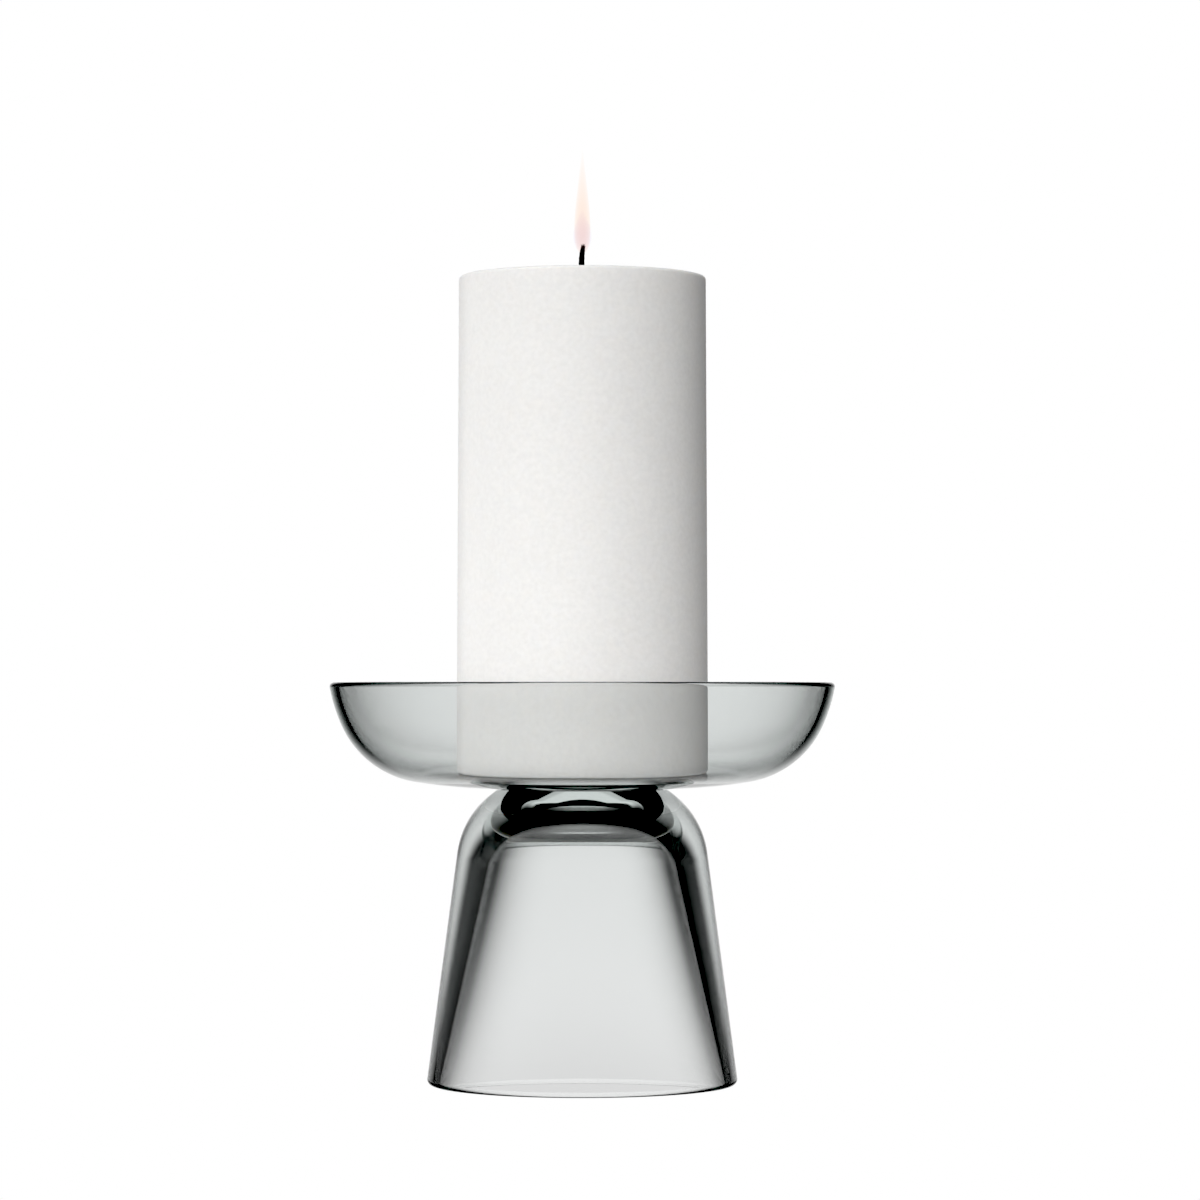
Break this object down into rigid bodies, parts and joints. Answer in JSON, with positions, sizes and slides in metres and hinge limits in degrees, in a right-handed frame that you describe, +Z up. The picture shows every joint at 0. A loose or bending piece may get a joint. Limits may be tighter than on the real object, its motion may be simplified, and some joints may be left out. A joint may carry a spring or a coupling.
{
  "type": "glass candlestick",
  "caption": "Smoke-grey glass pillar-candle holder: a shallow round dish bonded on a hollow bell-shaped foot, with a lift-out white pillar candle standing in the dish.",
  "frame": {"origin": "centre of the ring that the foot stands on", "axes": "+Z up along the common axis of bell, dish and candle; +X right and -Y towards the viewer of the front view"},
  "size_m": [0.143, 0.143, 0.2375],
  "materials": {
    "smoke_glass": "polished",
    "clear_bond": "gloss",
    "candle_wax": "satin",
    "wick_cotton": "matte",
    "tinplate": "satin"
  },
  "bodies": {
    "holder": {"bell_base": "smoke_glass", "bond_ring": "clear_bond", "dish": "smoke_glass"},
    "candle": {"candle_wax": "candle_wax", "wick": "wick_cotton", "wick_sustainer": "tinplate"}
  },
  "joints": [
    {"name": "candle_lift", "type": "slide", "parent": "holder", "child": "candle", "axis": [0, 0, 1], "range_m": [0, 0.036]}
  ]
}
